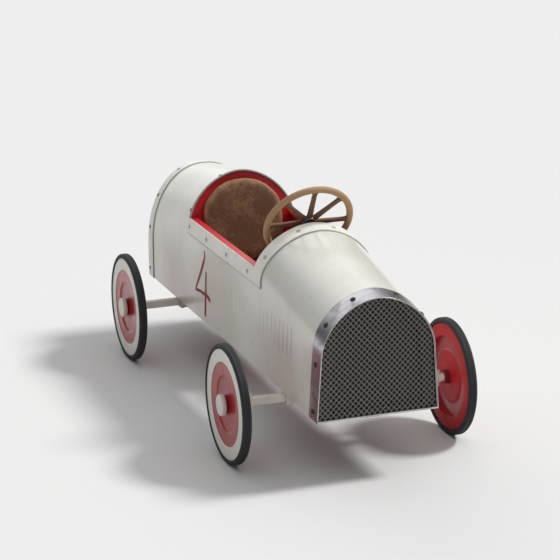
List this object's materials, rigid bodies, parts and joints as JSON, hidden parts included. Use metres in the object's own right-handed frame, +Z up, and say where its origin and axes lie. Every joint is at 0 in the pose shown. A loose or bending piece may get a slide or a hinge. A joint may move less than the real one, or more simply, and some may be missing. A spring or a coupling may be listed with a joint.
{
  "type": "pedal car",
  "caption": "Child's pedal racing car: sheet steel body with wire mesh nose, disc wheels, leather seat, wooden steering wheel, tie rod steering and chain drive.",
  "frame": {"origin": "on the ground, below the middle of the body's length and width", "axes": "+Z up, the car faces -Y, +X is its left side"},
  "size_m": [0.538, 1.158, 0.534],
  "materials": {
    "ivory_paint": "gloss",
    "red_paint": "gloss",
    "wheel_paint": "semi-gloss",
    "tyre_rubber": "matte",
    "bare_steel": "brushed",
    "screw_steel": "darkened",
    "grille_wire": "satin",
    "dark_lining": "matte",
    "former_wood": "painted wood",
    "oiled_steel": "oiled",
    "rim_wood": "varnished",
    "spoke_wood": "varnished",
    "brown_leather": "worn",
    "pedal_rubber": "matte"
  },
  "bodies": {
    "chassis": {"hood_skin": "ivory_paint", "tail_skin": "ivory_paint", "side_panel_left": "ivory_paint", "side_panel_right": "ivory_paint", "nose_band": "bare_steel", "nose_ring": "former_wood", "nose_backing": "dark_lining", "nose_mesh": "grille_wire", "nose_screws": "screw_steel", "trim_screws": "screw_steel", "hood_band": "ivory_paint", "sill_strip_left": "ivory_paint", "sill_strip_right": "ivory_paint", "sill_rail_left": "red_paint", "sill_rail_right": "red_paint", "tail_ring": "former_wood", "tail_panel": "ivory_paint", "tail_band": "ivory_paint", "chassis_rail_left": "red_paint", "chassis_rail_right": "red_paint", "cross_members": "red_paint", "front_beam": "ivory_paint", "kingpins": "bare_steel", "front_clamps": "ivory_paint", "rear_clamps": "ivory_paint", "axle_housing_left": "ivory_paint", "axle_housing_right": "ivory_paint", "dash_hoop": "red_paint", "column_bracket": "red_paint", "crank_hangers": "red_paint", "drive_chain": "oiled_steel", "seat_bulkhead": "red_paint", "seat_back_pad": "brown_leather", "seat_base": "red_paint", "seat_cushion": "brown_leather"},
    "knuckle_right": {"knuckle_right": "ivory_paint"},
    "knuckle_left": {"knuckle_left": "ivory_paint"},
    "tie_rod": {"tie_rod": "ivory_paint"},
    "steering": {"steering_column": "bare_steel", "steering_rim": "rim_wood", "steering_spider": "spoke_wood"},
    "wheel_front_right": {"front_right_tyre": "tyre_rubber", "front_right_wheel": "wheel_paint", "front_right_cap": "ivory_paint"},
    "wheel_front_left": {"front_left_tyre": "tyre_rubber", "front_left_wheel": "wheel_paint", "front_left_cap": "ivory_paint"},
    "rear_axle": {"rear_axle": "bare_steel", "rear_sprocket": "oiled_steel", "rear_right_tyre": "tyre_rubber", "rear_right_wheel": "wheel_paint", "rear_right_cap": "ivory_paint"},
    "wheel_rear_left": {"rear_left_tyre": "tyre_rubber", "rear_left_wheel": "wheel_paint", "rear_left_cap": "ivory_paint"},
    "crank": {"pedal_crank": "bare_steel", "front_sprocket": "oiled_steel"},
    "pedal_left": {"pedal_left": "pedal_rubber"},
    "pedal_right": {"pedal_right": "pedal_rubber"}
  },
  "joints": [
    {"name": "right_kingpin", "type": "hinge", "parent": "chassis", "child": "knuckle_right", "pos_m": [-0.218, -0.371, 0.127], "axis": [0, 0, 1], "range_deg": [-25, 25]},
    {"name": "left_kingpin", "type": "hinge", "parent": "chassis", "child": "knuckle_left", "pos_m": [0.218, -0.371, 0.127], "axis": [0, 0, 1], "range_deg": [-25, 25]},
    {"name": "tie_rod_pivot", "type": "hinge", "parent": "knuckle_right", "child": "tie_rod", "pos_m": [-0.218, -0.311, 0.1105], "axis": [0, 0, 1], "range_deg": [-25, 25]},
    {"name": "steering_wheel_turn", "type": "hinge", "parent": "chassis", "child": "steering", "pos_m": [0, -0.1826, 0.445], "axis": [0, 0.8712, 0.4909], "range_deg": [-25, 25]},
    {"name": "front_right_wheel_spin", "type": "hinge", "parent": "knuckle_right", "child": "wheel_front_right", "pos_m": [-0.25, -0.371, 0.127], "axis": [1, 0, 0], "continuous": true},
    {"name": "front_left_wheel_spin", "type": "hinge", "parent": "knuckle_left", "child": "wheel_front_left", "pos_m": [0.25, -0.371, 0.127], "axis": [1, 0, 0], "continuous": true},
    {"name": "rear_axle_spin", "type": "hinge", "parent": "chassis", "child": "rear_axle", "pos_m": [0, 0.366, 0.127], "axis": [1, 0, 0], "continuous": true},
    {"name": "rear_left_wheel_spin", "type": "hinge", "parent": "rear_axle", "child": "wheel_rear_left", "pos_m": [0.25, 0.366, 0.127], "axis": [1, 0, 0], "continuous": true},
    {"name": "crank_spin", "type": "hinge", "parent": "chassis", "child": "crank", "pos_m": [0, -0.217, 0.21], "axis": [1, 0, 0], "continuous": true},
    {"name": "left_pedal_spin", "type": "hinge", "parent": "crank", "child": "pedal_left", "pos_m": [0.058, -0.217, 0.27], "axis": [1, 0, 0], "continuous": true},
    {"name": "right_pedal_spin", "type": "hinge", "parent": "crank", "child": "pedal_right", "pos_m": [-0.058, -0.217, 0.15], "axis": [1, 0, 0], "continuous": true}
  ],
  "couplings": [
    {"joint": "left_kingpin", "follows": "right_kingpin", "ratio": 1},
    {"joint": "tie_rod_pivot", "follows": "right_kingpin", "ratio": -1},
    {"joint": "steering_wheel_turn", "follows": "right_kingpin", "ratio": 1},
    {"joint": "crank_spin", "follows": "rear_axle_spin", "ratio": 0.66667}
  ]
}
